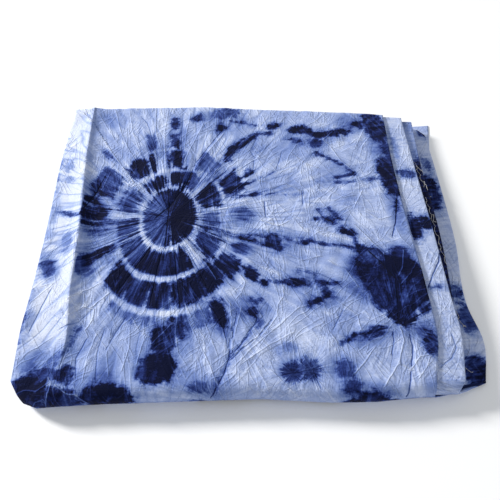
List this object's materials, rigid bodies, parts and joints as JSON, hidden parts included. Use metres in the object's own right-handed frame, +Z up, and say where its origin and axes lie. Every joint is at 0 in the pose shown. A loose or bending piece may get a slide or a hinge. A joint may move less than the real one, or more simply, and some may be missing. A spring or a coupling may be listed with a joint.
{
  "type": "shibori dyed cloth, folded",
  "caption": "Length of cotton, tie-dyed blue on a pale ground, folded back and forth and in half into a flat packet with a round near fold and open edges at the right.",
  "frame": {"origin": "under the middle of the packet's bounding box, on the surface that it rests on", "axes": "+X along the packet's long side, towards the open edges of its leaves; +Y away from the round near fold; +Z up"},
  "size_m": [0.5688, 0.477, 0.0354],
  "materials": {
    "dyed_cotton": "matt plain-woven cotton, dyed blue to navy on a pale blue-white ground"
  },
  "bodies": {
    "root": {"cloth": "dyed_cotton"}
  },
  "joints": []
}
